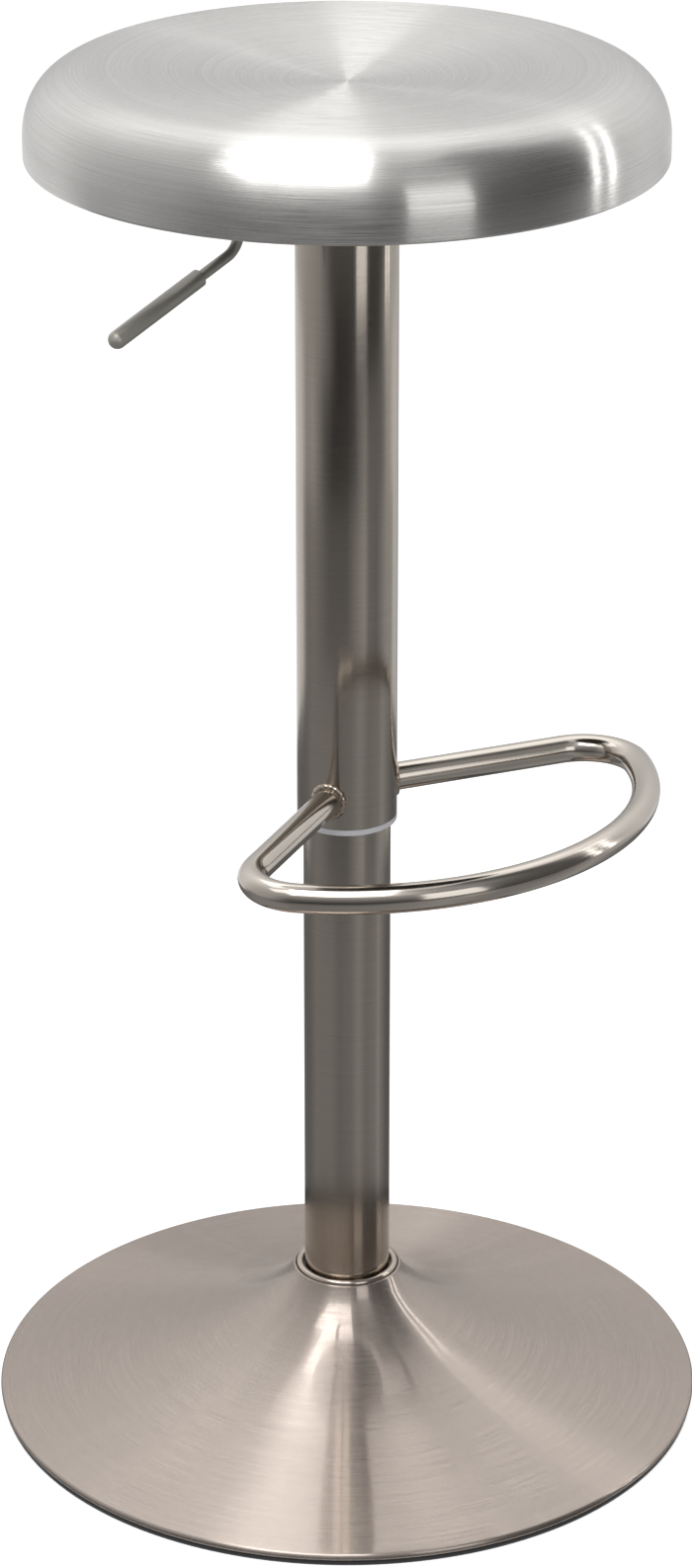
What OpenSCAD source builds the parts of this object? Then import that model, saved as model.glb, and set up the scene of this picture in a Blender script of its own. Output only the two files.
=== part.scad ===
// Bar stool: a round spun seat on a gas lift that swivels, with a bent footrest and a trumpet foot.
// Z is up, the floor is at z = 0 and the column stands on the origin. The seat is drawn fully raised.
// The footrest points to -Y, and the release lever to -X, at the sitter's right hand.

/* [Seat] */
// Height of the seat's brim above the floor, fully raised
seat_h = 806; // [780:1:840]
// Outer diameter of the seat
seat_d = 348; // [320:2:380]
// Height of the straight band at the seat's lower edge
seat_band_h = 10.5; // [6:0.5:16]
// Width of the rounded shoulder, seen from above
shoulder_w = 39.5; // [30:0.5:50]
// Height of the rounded shoulder
shoulder_h = 38.5; // [34:0.5:48]
// Depth of the dish in the middle of the seat
dish_depth = 9; // [4:0.5:12]
// Thickness of the seat's spun steel
seat_wall = 1.5; // [1:0.1:2]
// Radius of the curled hem at the seat's lower edge
seat_hem_r = 1.8; // [1.2:0.1:2.2]
// Thickness of the plywood board inside the seat
board_t = 15; // [12:0.5:18]
// How far the board's underside lies above the seat's lower edge
board_inset = 3; // [1:0.5:5]

/* [Column] */
// Outer diameter of the lower column
column_d = 50; // [46:0.5:54]
// Length of the lower column
column_len = 438; // [420:1:460]
// Wall of both tubes
tube_wall = 1.5; // [1.2:0.1:2]
// Radial space between the column and the outer tube, which the bush fills
bush_space = 2; // [1.5:0.1:3]
// Length of the outer tube
outer_tube_len = 358; // [330:1:380]
// Thickness of the bush's flange under the outer tube
bush_flange_t = 3.5; // [2:0.5:6]
// Length of the bush inside the outer tube
bush_len = 28; // [20:1:40]
// How much the column's radius shrinks in the foot's socket
column_taper = 0.8; // [0.4:0.1:1.2]

/* [Gas lift] */
// How far the seat goes down
lift_travel = 210; // [160:5:215]
// Outer diameter of the gas cylinder
cylinder_d = 28; // [26:0.5:30]
// Wall of the gas cylinder
cylinder_wall = 1.5; // [1.2:0.1:2]
// Diameter of the piston rod
rod_d = 10; // [9:0.5:11]
// Diameter of the rod's lower spigot
spigot_d = 8; // [7:0.5:8.5]
// Diameter of the bearing's balls
ball_d = 4; // [3:0.5:5]
// Number of balls
ball_count = 8; // [6:1:9]
// Diameter of the release button
button_d = 8; // [6:0.5:9]

/* [Footrest] */
// Diameter of the footrest's tube
foot_d = 16; // [14:0.5:20]
// Wall of the footrest's tube
foot_wall = 1.5; // [1.2:0.1:2]
// Height of the footrest's arms above the outer tube's lower edge
foot_rise = 16.5; // [14:0.5:40]
// Upward tilt of the footrest's front, in degrees
foot_tilt = 2.5; // [0:0.5:5]
// Radius of the front bar's curve
foot_front_r = 158; // [140:1:175]
// Distance of that curve's centre in front of the column's axis
foot_front_shift = 16; // [5:1:30]
// Angle of each arm from straight ahead, in degrees
foot_arm_angle = 66; // [55:1:75]
// Radius of the bends between the arms and the front bar
foot_bend_r = 32; // [26:1:42]
// Width of the weld collar round each arm
weld_r = 3; // [2:0.5:4]

/* [Foot] */
// Outer diameter of the foot
base_d = 415; // [380:5:450]
// Height of the neck's edge above the floor
neck_h = 79.5; // [72:0.5:95]
// Slope of the trumpet at the neck, in degrees from level
neck_slope = 65; // [55:1:75]
// How soon the steep lip at the neck runs out into the flare
lip_power = 8; // [6:1:12]
// Thickness of the foot's spun steel
base_wall = 1.5; // [1.2:0.1:2]
// Radius of the rolled rim
base_hem_r = 2.3; // [2:0.1:3]
// Thickness of the rubber ring on the floor
floor_ring_t = 3; // [2:0.5:5]
// Width of the rubber ring
floor_ring_w = 13; // [8:1:20]
// Thickness of the ballast plate
plate_t = 4; // [3:0.5:4.5]
// Wire diameter of the polished ring at the neck
trim_wire_d = 4.4; // [3:0.2:6]
// Radial gap between the column and that ring
ring_gap = 0.6; // [0.2:0.1:1.2]

/* [Lever] */
// Diameter of the lever's rod
lever_d = 6; // [5:0.5:7]
// Outer diameter of the grip
grip_d = 10; // [9:0.5:14]
// Length of the grip
grip_len = 67; // [50:1:80]
// Depth of the seat bracket below the board
bracket_depth = 30; // [28:0.5:36]
// Distance from the column's axis to the lever's pivot
lever_pivot_x = 26; // [22:1:30]
// Straight length of rod between the pivot piece and the first bend
lever_run = 32; // [28:1:45]
// Steepness of the rod's drop, in degrees
lever_drop_angle = 70; // [55:1:80]
// Straight length of that drop
lever_drop_len = 8; // [4:0.5:16]
// Steepness of the handle, in degrees
lever_handle_angle = 20; // [10:1:30]
// Bare rod between the second bend and the grip
lever_bare_len = 21; // [12:1:30]

/* [Hidden] */
// Clearances and plain thicknesses
run_fit = 0.06;      // radial play of a sliding or turning fit
seat_fit = 0.02;     // radial play of a taper or a pressed fit
face_gap = 0.1;      // axial play between pieces that turn against each other
plate_steel = 3;     // bracket, and the disc in the column's foot
washer_t = 1.5;
bolt_play = 0.2;     // radial play of a bolt in its hole
fullness = 0.85;     // exponent under 1 makes the shoulder fuller than an ellipse
cut_h = 80;          // height of the round bar that trims the footrest's arms
cut_over = 1;        // how far a cut runs on past the faces that it opens
// How far a straight bar runs on over the bends that it meets, and how much thinner in radius a bend is
foot_lap = 1;
foot_step = 0.05;
lever_lap = 0.4;
lever_step = 0.02;

// Seat levels and radii
seat_r = seat_d / 2;
rim_z = seat_h - shoulder_h - seat_band_h;
band_top_z = rim_z + seat_band_h;
brim_r = seat_r - shoulder_w;
board_z = rim_z + board_inset;
board_play = 0.4;
board_r = seat_r - 2 * seat_hem_r - board_play;
filler_z = board_z + board_t;
filler_inset = 2;
filler_r = brim_r - filler_inset;

// Bracket and lever levels
bracket_z = board_z - bracket_depth;
flange_z = board_z - plate_steel;
socket_top_z = bracket_z + plate_steel;
nose_r = 4;
lever_rise = 9;
lever_z = socket_top_z + lever_rise;
bracket_l = 110;
channel_w = 64;
flange_w = 150;
bend_r = 4;
lever_bend_r = 13;
eye_r = 6.5;
tang_t = 5;
tang_neck = 1;
tang_lap = 3;
tang_play = 0.3;
lever_start_x = lever_pivot_x + eye_r + tang_neck;
tang_end_x = lever_start_x + tang_lap;
pin_r = 2.5;
pin_head = 1.5;      // how far the pin's head stands out, and how thick it is
pin_end = 1;         // how far the pin's shank passes the ears
ear_t = 2.5;
yoke_half_w = tang_t / 2 + tang_play + ear_t;
yoke_half_l = 7;
bolt_x = 40;
bolt_y = 56;
bolt_r = 3;
bolt_head_r = 5;
bolt_head_t = 4;
bolt_tip = 3;
bolt_lap = 0.5;
bolt_washer_r = 6;
nut_barrel_r = 4;
nut_barrel_len = 10;
nut_flange_r = 9;
nut_pocket_h = 5;
nut_space = 1;

// Tubes
column_r = column_d / 2;
column_in_r = column_r - tube_wall;
foot_space = 5;
column_z = floor_ring_t + plate_t + foot_space;
column_top_z = column_z + column_len;
outer_in_r = column_r + bush_space;
outer_r = outer_in_r + tube_wall;
outer_top_z = bracket_z;
outer_z = outer_top_z - outer_tube_len;

// Bearing levels, upwards from the disc in the column's foot
foot_top_z = column_z + plate_steel;
race_r = 11;
ball_ring_r = 7.8;
ball_play = 0.02;
cage_t = 1.2;
cage_play = 0.4;
ball_z = foot_top_z + washer_t + ball_d / 2;
upper_race_z = foot_top_z + washer_t + ball_d;
shoulder_z = upper_race_z + washer_t;
bump_h = 14;
bump_wall = 7;
stop_gap = 7.5;
rod_end_sink = 2;
rod_end_z = floor_ring_t + plate_t - rod_end_sink;
retainer_r = 9;
retainer_z = column_z - face_gap - washer_t;
clip_r = 7;
clip_t = 1.2;

// Gas lift levels
socket_len = 36;
socket_r = 20;
cone_z = socket_top_z - socket_len;
cone_drop = 0.9;
cyl_r = cylinder_d / 2;
cyl_in_r = cyl_r - cylinder_wall;
cyl_proud = 0.5;
cyl_top_z = socket_top_z + cyl_proud;
cyl_z = shoulder_z + bump_h + stop_gap + lift_travel;
valve_play = 0.2;
valve_r = cyl_in_r - cone_drop - valve_play;
gland_len = 20;
piston_rise = 15;
piston_z = cyl_z + gland_len + piston_rise;
piston_len = 16;
piston_nut_len = 3;
seal_depth = 2;
seal_h = 3;
seal_z = piston_z + piston_len / 2 - seal_h / 2;
rod_r = rod_d / 2;
tenon_step = 1;
tenon_r = rod_r - tenon_step;
spigot_r = spigot_d / 2;
button_r = button_d / 2;
button_top_z = lever_z - nose_r - face_gap;
button_len = 19;
button_stroke = 5;
valve_reach = 10;
valve_z = cone_z - valve_reach;
end_wall = 4;
sleeve_len = 62;
sleeve_flange_t = 2;
head_t = 8;

// Foot levels and radii
base_r = base_d / 2;
hem_c = [base_r - base_hem_r, floor_ring_t + base_hem_r];
ring_r = trim_wire_d / 2;
ring_seat_r = column_r + ring_gap + trim_wire_d;
neck_play = 0.3;
neck_r = ring_seat_r + neck_play + base_wall;
ring_depth = 2;
socket_rim_z = neck_h - ring_depth;
socket_wall = 2.5;
socket_seat_t = 5;
socket_slope_h = 3;
plate_z = floor_ring_t;
plate_top_z = plate_z + plate_t;
plate_inset = 4;
plate_r = base_r - 2 * base_hem_r - plate_inset;
plate_hole_step = 1.2;
plate_hole_r = column_r - column_taper - plate_hole_step;
ring_inset = 1;

// The foot's curve: its slope falls off as 1/r from the neck to the rim, with a steeper lip at the neck
rim_slope = atan((neck_h - hem_c[1] - base_hem_r) / (hem_c[0] * ln(hem_c[0] / neck_r)));
flare_end = hem_c + base_hem_r * [sin(rim_slope), cos(rim_slope)];
flare_span = ln(flare_end[0] / neck_r);
flare_drop = (neck_h - flare_end[1]) / flare_span;
lip_h = (neck_r * tan(neck_slope) - flare_drop) / (lip_power - 1 / flare_span);
flare_k = flare_drop - lip_h / flare_span;

// Footrest plan, in its own plane: X ahead, Y to the side
foot_r = foot_d / 2;
foot_z = outer_z + foot_rise;
arm_dir = [cos(foot_arm_angle), sin(foot_arm_angle)];
arm_side = [-arm_dir[1], arm_dir[0]];
bend_rise = -foot_bend_r * arm_side - [foot_front_shift, 0];
bend_dot = bend_rise * arm_dir;
bend_gap = pow(foot_front_r - foot_bend_r, 2) - bend_rise * bend_rise;
arm_end = -bend_dot + sqrt(bend_dot * bend_dot + bend_gap);
bend_c = -foot_bend_r * arm_side + arm_end * arm_dir;
arm_root = 6;
arm_start = outer_r - arm_root;
front_half = atan2(bend_c[1], bend_c[0] - foot_front_shift);
front_lap = atan(foot_lap / foot_front_r);

$fn = 96;

// A tube from z0 up, or a solid rod where r_in is 0
module tube(r_out, r_in, z0, h) {
    translate([0, 0, z0]) difference() {
        cylinder(r = r_out, h = h);
        if (r_in > 0) translate([0, 0, -cut_over]) cylinder(r = r_in, h = h + 2 * cut_over);
    }
}

// Half section of the seat's outer face, from the lower edge to the centre, set inwards by inset
function shoulder_point(t, inset) = [
    seat_r - inset - (shoulder_w - inset) * (1 - pow(cos(t), fullness)),
    band_top_z + (shoulder_h - inset) * pow(sin(t), fullness)];
function dish_z(r) = seat_h - dish_depth * (1 + cos(180 * r / brim_r)) / 2;
function seat_outline(inset) = concat(
    [[seat_r - inset, rim_z + seat_hem_r]],
    [for (i = [0 : 24]) shoulder_point(90 * i / 24, inset)],
    [for (i = [15 : -1 : 0]) [brim_r * i / 16, dish_z(brim_r * i / 16) - inset]]);
function reversed(list) = [for (i = [len(list) - 1 : -1 : 0]) list[i]];

module seat_shell() color("silver") {
    rotate_extrude() polygon(concat(seat_outline(0), reversed(seat_outline(seat_wall))));
    rotate_extrude() translate([seat_r - seat_hem_r, rim_z + seat_hem_r]) circle(r = seat_hem_r, $fn = 32);
}

module seat_filler() color("gainsboro") difference() {
    rotate_extrude() polygon(concat([[0, filler_z], [filler_r, filler_z]],
        [for (i = [15 : -1 : 0]) let (r = filler_r * i / 15) [r, dish_z(r) - seat_wall - face_gap]]));
    at_bolts() tube(nut_flange_r + nut_space, 0, filler_z - cut_over, nut_pocket_h + cut_over);
}

module seat_board() color("dimgray") difference() {
    tube(board_r, 0, board_z, board_t);
    at_bolts() tube(nut_barrel_r, 0, board_z - cut_over, board_t + 2 * cut_over);
}

module at_bolts() {
    for (x = [-bolt_x, bolt_x], y = [-bolt_y, bolt_y]) translate([x, y, 0]) children();
}

module tee_nuts() color("silver") at_bolts() {
    tube(nut_flange_r, bolt_r, filler_z, washer_t);
    tube(nut_barrel_r, bolt_r, filler_z - nut_barrel_len, nut_barrel_len);
}

module bolt_washers() color("silver") at_bolts()
    tube(bolt_washer_r, bolt_r + bolt_play, flange_z - washer_t, washer_t);

module seat_bolts() color("silver") at_bolts() {
    translate([0, 0, flange_z - washer_t - bolt_head_t])
        cylinder(r = bolt_head_r, h = bolt_head_t, $fn = 6);
    tube(bolt_r, 0, flange_z - washer_t - bolt_lap, plate_steel + washer_t + board_t + bolt_tip);
}

// Pressed channel: its floor holds the socket, and its flanges are bolted to the board
module seat_bracket() color("dimgray") difference() {
    translate([-bracket_l / 2, 0, 0]) rotate([90, 0, 90]) linear_extrude(bracket_l) {
        bracket_half();
        mirror([1, 0]) bracket_half();
    }
    at_bolts() tube(bolt_r + bolt_play, 0, flange_z - cut_over, plate_steel + 2 * cut_over);
    tube(socket_r, 0, bracket_z - cut_over, plate_steel + 2 * cut_over);
}

module bracket_half() {
    half = channel_w / 2;
    translate([0, bracket_z]) square([half - bend_r, plate_steel]);
    translate([half - bend_r, bracket_z + bend_r]) bend_corner(-90);
    translate([half - plate_steel, bracket_z + bend_r])
        square([plate_steel, bracket_depth - 2 * bend_r]);
    translate([half - plate_steel + bend_r, board_z - bend_r]) bend_corner(90);
    translate([half - plate_steel + bend_r, flange_z])
        square([flange_w / 2 - half + plate_steel - bend_r, plate_steel]);
}

// Quarter of a bent sheet's corner, turned to start at angle a
module bend_corner(a) {
    intersection() {
        difference() {
            circle(r = bend_r, $fn = 48);
            circle(r = bend_r - plate_steel, $fn = 32);
        }
        rotate(a) square(bend_r);
    }
}

// Radius of the taper that the cylinder's top and its socket share
function cone_r(z) = cyl_r - cone_drop * (z - cone_z) / socket_len;

module taper_socket() color("gray") rotate_extrude() polygon([
    [cyl_r + seat_fit, cone_z], [socket_r, cone_z], [socket_r, socket_top_z],
    [cone_r(socket_top_z) + seat_fit, socket_top_z]]);

module tube_head() color("gray") tube(outer_in_r, socket_r, outer_top_z - head_t, head_t);

module outer_tube() color("silver") tube(outer_r, outer_in_r, outer_z, outer_tube_len);

module tube_bush() color("whitesmoke") {
    tube(outer_in_r, column_r + run_fit, outer_z, bush_len);
    tube(outer_r, column_r + run_fit, outer_z - bush_flange_t, bush_flange_t);
}

module footrest() color("silver") difference() {
    footrest_solid(foot_r);
    footrest_solid(foot_r - foot_wall);
    tube(outer_r, 0, foot_z - cut_h / 2, cut_h);
}

// The whole loop as a round bar of radius r, in place: radial arms, two bends and the front bar
module footrest_solid(r) {
    foot_frame() {
        arm_and_bend(r);
        mirror([0, 1, 0]) arm_and_bend(r);
        translate([foot_front_shift, 0, 0]) rotate([0, 0, -front_half - front_lap])
            rotate_extrude(angle = 2 * (front_half + front_lap))
                translate([foot_front_r, 0]) circle(r = r, $fn = 48);
    }
}

module arm_and_bend(r) {
    rotate([0, 90, foot_arm_angle]) translate([0, 0, arm_start])
        cylinder(r = r, h = arm_end - arm_start + foot_lap);
    translate([bend_c[0], bend_c[1], 0]) rotate([0, 0, front_half])
        rotate_extrude(angle = foot_arm_angle + 90 - front_half)
            translate([foot_bend_r, 0]) circle(r = r - foot_step, $fn = 48);
}

// Turns the plan's X to -Y, tilts its front up and lifts it to the footrest's height
module foot_frame() {
    translate([0, 0, foot_z]) rotate([-foot_tilt, 0, 0]) rotate([0, 0, -90]) children();
}

module footrest_welds() color("silver") difference() {
    foot_frame() for (side = [-1, 1]) rotate([0, 90, side * foot_arm_angle])
        translate([0, 0, outer_r + weld_r / 3]) rotate_extrude() intersection() {
            translate([foot_r + weld_r / 3, 0]) circle(r = weld_r, $fn = 32);
            translate([foot_r, -weld_r]) square(2 * weld_r);
        }
    tube(outer_r, 0, foot_z - cut_h / 2, cut_h);
}

module gas_cylinder() color("dimgray") {
    hole_r = button_r + run_fit;
    wall_z = cyl_top_z - end_wall;
    rotate_extrude() polygon([
        [cyl_in_r, cyl_z], [cyl_r, cyl_z], [cyl_r, cone_z], [cone_r(cyl_top_z), cyl_top_z],
        [hole_r, cyl_top_z], [hole_r, wall_z], [valve_r, wall_z], [valve_r, valve_z], [cyl_in_r, valve_z]]);
}

module valve_body() color("gold") difference() {
    tube(valve_r, 0, valve_z, cyl_top_z - end_wall - valve_z);
    tube(button_r + run_fit, 0, button_top_z - button_len - button_stroke, button_len);
}

module release_pin() color("silver") tube(button_r, 0, button_top_z - button_len, button_len);

module cylinder_gland() color("black") tube(cyl_in_r, rod_r + run_fit, cyl_z, gland_len);

module piston() color("gold") difference() {
    tube(cyl_in_r - run_fit, tenon_r, piston_z, piston_len);
    tube(cyl_in_r, cyl_in_r - seal_depth, seal_z, seal_h);
}

module piston_seal() color("black") tube(cyl_in_r - run_fit, cyl_in_r - seal_depth, seal_z, seal_h);

module piston_rod() color("silver") {
    tube(spigot_r, 0, rod_end_z, shoulder_z - rod_end_z);
    tube(rod_r, 0, shoulder_z, piston_z - shoulder_z);
    tube(tenon_r, 0, piston_z, piston_len + piston_nut_len);
}

module bump_stop() color("black") tube(rod_r + bump_wall, rod_r, shoulder_z, bump_h);

module upper_race() color("silver") tube(race_r, spigot_r, upper_race_z, washer_t);

module ball_cage() color("tan") difference() {
    tube(race_r, spigot_r + cage_play, ball_z - cage_t / 2, cage_t);
    at_balls() sphere(d = ball_d, $fn = 32);
}

module at_balls() {
    for (i = [0 : ball_count - 1]) rotate([0, 0, 360 * i / ball_count])
        translate([ball_ring_r, 0, ball_z]) children();
}

module bearing_balls() color("silver") at_balls() sphere(d = ball_d - 2 * ball_play, $fn = 32);

module lower_race() color("silver") tube(race_r, spigot_r + run_fit, foot_top_z, washer_t);

module retaining_washer() color("silver") tube(retainer_r, spigot_r, retainer_z, washer_t);

module rod_clip() color("silver") tube(clip_r, spigot_r, retainer_z - clip_t, clip_t);

module column_foot() color("dimgray")
    tube(column_in_r - column_taper, spigot_r + run_fit, column_z, plate_steel);

module guide_sleeve() color("whitesmoke") {
    tube(column_in_r, cyl_r + run_fit, column_top_z - sleeve_len, sleeve_len);
    tube(column_r, cyl_r + run_fit, column_top_z, sleeve_flange_t);
}

module column_tube() color("silver") rotate_extrude() polygon([
    [column_r - column_taper, column_z], [column_r, socket_rim_z], [column_r, column_top_z],
    [column_in_r, column_top_z], [column_in_r, socket_rim_z],
    [column_in_r - column_taper, foot_top_z], [column_in_r - column_taper, column_z]]);

module trim_ring() color("silver") rotate_extrude()
    translate([ring_seat_r - ring_r, socket_rim_z + ring_r]) circle(r = ring_r - seat_fit, $fn = 48);

module base_socket() color("dimgray") {
    foot_r_low = column_r - column_taper + seat_fit;
    rotate_extrude() polygon([
        [foot_r_low, plate_top_z], [foot_r_low, column_z], [column_r + seat_fit, socket_rim_z],
        [ring_seat_r, socket_rim_z], [ring_seat_r, socket_rim_z - socket_seat_t],
        [column_r + socket_wall, socket_rim_z - socket_seat_t - socket_slope_h],
        [column_r + socket_wall, plate_top_z]]);
}

// Height and slope of the foot's outer face at radius r
function flare_z(r) = flare_end[1] + flare_k * ln(flare_end[0] / r) + lip_h * pow(neck_r / r, lip_power);
function flare_slope(r) = atan((flare_k + lip_h * lip_power * pow(neck_r / r, lip_power)) / r);

// A point of the foot's sheet at depth below its outer face
function flare_point(r, depth) = [r, flare_z(r)] - depth * [sin(flare_slope(r)), cos(flare_slope(r))];

// Half section of that sheet from the neck to the rim, with its points closer together near the neck
function base_outline(depth) =
    [for (i = [0 : 32]) flare_point(neck_r * exp(flare_span * pow(i / 32, 1.4)), depth)];

module base_shell() color("silver") {
    rotate_extrude() polygon(concat(base_outline(0), reversed(base_outline(base_wall))));
    rotate_extrude() translate(hem_c) circle(r = base_hem_r, $fn = 48);
    rotate_extrude() translate(flare_point(neck_r, base_wall / 2)) circle(d = base_wall, $fn = 32);
}

module base_plate() color("dimgray") tube(plate_r, plate_hole_r, plate_z, plate_t);

module floor_ring() color("black")
    tube(base_r - ring_inset, base_r - ring_inset - floor_ring_w, 0, floor_ring_t);

// Pivot piece, and the bent rod from it to inside the grip, in the plane through the column's axis
module lever_rod() color("dimgray") {
    difference() {
        union() {
            tang_disc(nose_r, 0);
            tang_disc(eye_r, -lever_pivot_x);
            translate([-tang_end_x, -tang_t / 2, lever_z - nose_r])
                cube([tang_end_x, tang_t, 2 * nose_r]);
        }
        pivot_rod(pin_r + run_fit, 2 * tang_t);
    }
    translate([-lever_start_x, 0, lever_z]) mirror([1, 0, 0])
        straight(lever_run) bend(-lever_drop_angle) straight(lever_drop_len)
            bend(lever_drop_angle - lever_handle_angle) straight(lever_bare_len + grip_len - grip_d);
}

// Round end of the flattened pivot piece
module tang_disc(r, x) {
    translate([x, tang_t / 2, lever_z]) rotate([90, 0, 0]) cylinder(r = r, h = tang_t);
}

// Rod along +X of length l, lapped at both ends, and what follows from its end
module straight(l) {
    translate([-lever_lap, 0, 0]) rotate([0, 90, 0]) cylinder(d = lever_d, h = l + 2 * lever_lap);
    translate([l, 0, 0]) children();
}

// Bend of the rod by angle a, up where a is positive, and what follows from its end
module bend(a) {
    side = a > 0 ? 1 : -1;
    translate([0, 0, side * lever_bend_r]) {
        rotate([90, 0, 0]) rotate([0, 0, a > 0 ? -90 : 90 + a])
            rotate_extrude(angle = abs(a)) translate([lever_bend_r, 0])
                circle(r = lever_d / 2 - lever_step, $fn = 48);
        rotate([0, -a, 0]) translate([0, 0, -side * lever_bend_r]) children();
    }
}

module lever_grip() color("dimgray") lever_grip_frame() difference() {
    union() {
        rotate([0, 90, 0]) cylinder(d = grip_d, h = grip_len - grip_d / 2);
        translate([grip_len - grip_d / 2, 0, 0]) sphere(d = grip_d);
    }
    straight(grip_len - grip_d);
}

// Frame at the grip's start, its X along the handle
module lever_grip_frame() {
    a = lever_drop_angle;
    b = lever_handle_angle;
    reach = lever_bend_r * (2 * sin(a) - sin(b)) + lever_drop_len * cos(a) + lever_bare_len * cos(b);
    drop = lever_bend_r * (1 + cos(b) - 2 * cos(a)) + lever_drop_len * sin(a) + lever_bare_len * sin(b);
    translate([-lever_start_x - lever_run - reach, 0, lever_z - drop])
        mirror([1, 0, 0]) rotate([0, b, 0]) children();
}

// Bent steel clip with two ears that hold the pivot pin
module lever_yoke() color("dimgray") difference() {
    translate([-lever_pivot_x, 0, 0]) {
        translate([-yoke_half_l, -yoke_half_w, socket_top_z])
            cube([2 * yoke_half_l, 2 * yoke_half_w, washer_t]);
        for (y = [-yoke_half_w, yoke_half_w - ear_t]) translate([0, y, 0]) {
            translate([-yoke_half_l, 0, socket_top_z])
                cube([2 * yoke_half_l, ear_t, lever_z - socket_top_z]);
            translate([0, 0, lever_z]) rotate([-90, 0, 0]) cylinder(r = yoke_half_l, h = ear_t);
        }
    }
    pivot_rod(pin_r, 2 * (yoke_half_w + pin_end));
}

module lever_pin() color("silver") {
    pivot_rod(pin_r, 2 * (yoke_half_w + pin_end));
    translate([-lever_pivot_x, -yoke_half_w, lever_z]) rotate([90, 0, 0])
        cylinder(r = pin_r + pin_head, h = pin_head);
}

// Round bar along Y through the lever's pivot
module pivot_rod(r, l) {
    translate([-lever_pivot_x, 0, lever_z]) rotate([90, 0, 0]) cylinder(r = r, h = l, center = true);
}

seat_shell();
seat_filler();
seat_board();
tee_nuts();
bolt_washers();
seat_bolts();
seat_bracket();
taper_socket();
tube_head();
lever_yoke();
lever_pin();
lever_rod();
lever_grip();
release_pin();
outer_tube();
tube_bush();
footrest();
footrest_welds();
gas_cylinder();
valve_body();
cylinder_gland();
piston_seal();
piston();
piston_rod();
bump_stop();
upper_race();
ball_cage();
bearing_balls();
lower_race();
retaining_washer();
rod_clip();
column_foot();
guide_sleeve();
column_tube();
trim_ring();
base_socket();
base_shell();
base_plate();
floor_ring();
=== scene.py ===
# %% [markdown]
# # A bar stool in brushed steel
# The stool has a round spun seat on a gas lift, a bent footrest and a trumpet-shaped foot. Its working
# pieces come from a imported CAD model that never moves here. This lesson dresses that model: each piece
# that shows is modelled again with smooth faces and fine edges, and every surface gets a finish of its own.

# %% Load the frame and measure it
import math

import bpy
from mathutils import Matrix, Vector


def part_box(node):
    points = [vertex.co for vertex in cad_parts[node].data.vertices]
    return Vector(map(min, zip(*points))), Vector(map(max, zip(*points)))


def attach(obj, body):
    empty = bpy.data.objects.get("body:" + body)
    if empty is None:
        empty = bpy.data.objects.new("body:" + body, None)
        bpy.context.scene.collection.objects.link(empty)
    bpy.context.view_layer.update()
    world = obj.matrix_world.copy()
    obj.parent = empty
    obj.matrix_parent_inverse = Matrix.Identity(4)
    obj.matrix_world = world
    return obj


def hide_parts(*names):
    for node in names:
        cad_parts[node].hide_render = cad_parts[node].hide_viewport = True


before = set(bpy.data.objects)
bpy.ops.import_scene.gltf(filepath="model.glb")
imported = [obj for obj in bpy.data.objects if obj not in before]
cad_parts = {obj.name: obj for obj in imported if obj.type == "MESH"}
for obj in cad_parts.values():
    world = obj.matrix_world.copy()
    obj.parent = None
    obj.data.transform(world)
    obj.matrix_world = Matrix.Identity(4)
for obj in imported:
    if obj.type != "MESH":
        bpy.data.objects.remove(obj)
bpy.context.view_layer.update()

# %% [markdown]
# ## The camera
# The photograph was taken from above, with a long lens, from the side between the lever and the footrest.
# The seat's and the foot's ellipses and the column's edges give the lens, the distance and the pitch. It
# could be placed by eye, but the numbers here were solved from those outlines.

# %% Put the camera where the photograph was taken
CAMERA_AZIMUTH = math.radians(-134.1)
CAMERA_DISTANCE = 2.409
CAMERA_HEIGHT = 1.4245
CAMERA_PITCH = math.radians(23.27)
CAMERA_LENS = 105.87
CAMERA_SENSOR = 36
CAMERA_SIGHT = 20
# The photograph's height and its sideways shift, in its own pixels
PHOTO_HEIGHT = 1586
PHOTO_SHIFT = -1

bpy.ops.object.camera_add()
camera = bpy.context.object
camera.name = "camera"
camera.location = (
    CAMERA_DISTANCE * math.cos(CAMERA_AZIMUTH),
    CAMERA_DISTANCE * math.sin(CAMERA_AZIMUTH),
    CAMERA_HEIGHT,
)
camera.rotation_euler = (math.pi / 2 - CAMERA_PITCH, 0, CAMERA_AZIMUTH + math.pi / 2)
camera.data.lens = CAMERA_LENS
camera.data.sensor_width = CAMERA_SENSOR
camera.data.shift_x = PHOTO_SHIFT / PHOTO_HEIGHT
camera.data.clip_end = CAMERA_SIGHT
bpy.context.scene.camera = camera
bpy.context.scene.view_settings.view_transform = "Standard"
print("camera at", [round(c, 3) for c in camera.location])


# %% [markdown]
# ## Two ways to make a metal piece
# Most pieces are either turned or bent. A turned piece, such as the seat, is a half section spun round
# the column's axis. A bent piece, such as the footrest, is a ring of points that runs straight and swings
# round each bend's centre. Both are done with the operators that a modeller would use by hand, so each is
# written once here as a short helper.

# %% Helper: name a new piece, clean its faces and smooth it
SMOOTH_ANGLE = math.radians(35)
MERGE_DISTANCE = 1e-6


def finish_piece(name, body, replaced=()):
    """Closes the work on the active mesh, ties it to its CAD body and hides the CAD nodes that it replaces.
    """
    piece = bpy.context.object
    if piece.mode == "EDIT":
        bpy.ops.object.mode_set(mode="OBJECT")
    piece.name = name
    piece.data.name = name
    bpy.ops.object.transform_apply(location=True, rotation=True, scale=True)
    bpy.ops.object.shade_smooth_by_angle(angle=SMOOTH_ANGLE)
    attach(piece, body)
    if replaced:
        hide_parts(*replaced)
    print(name, "has", len(piece.data.polygons), "faces")
    return piece


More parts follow.
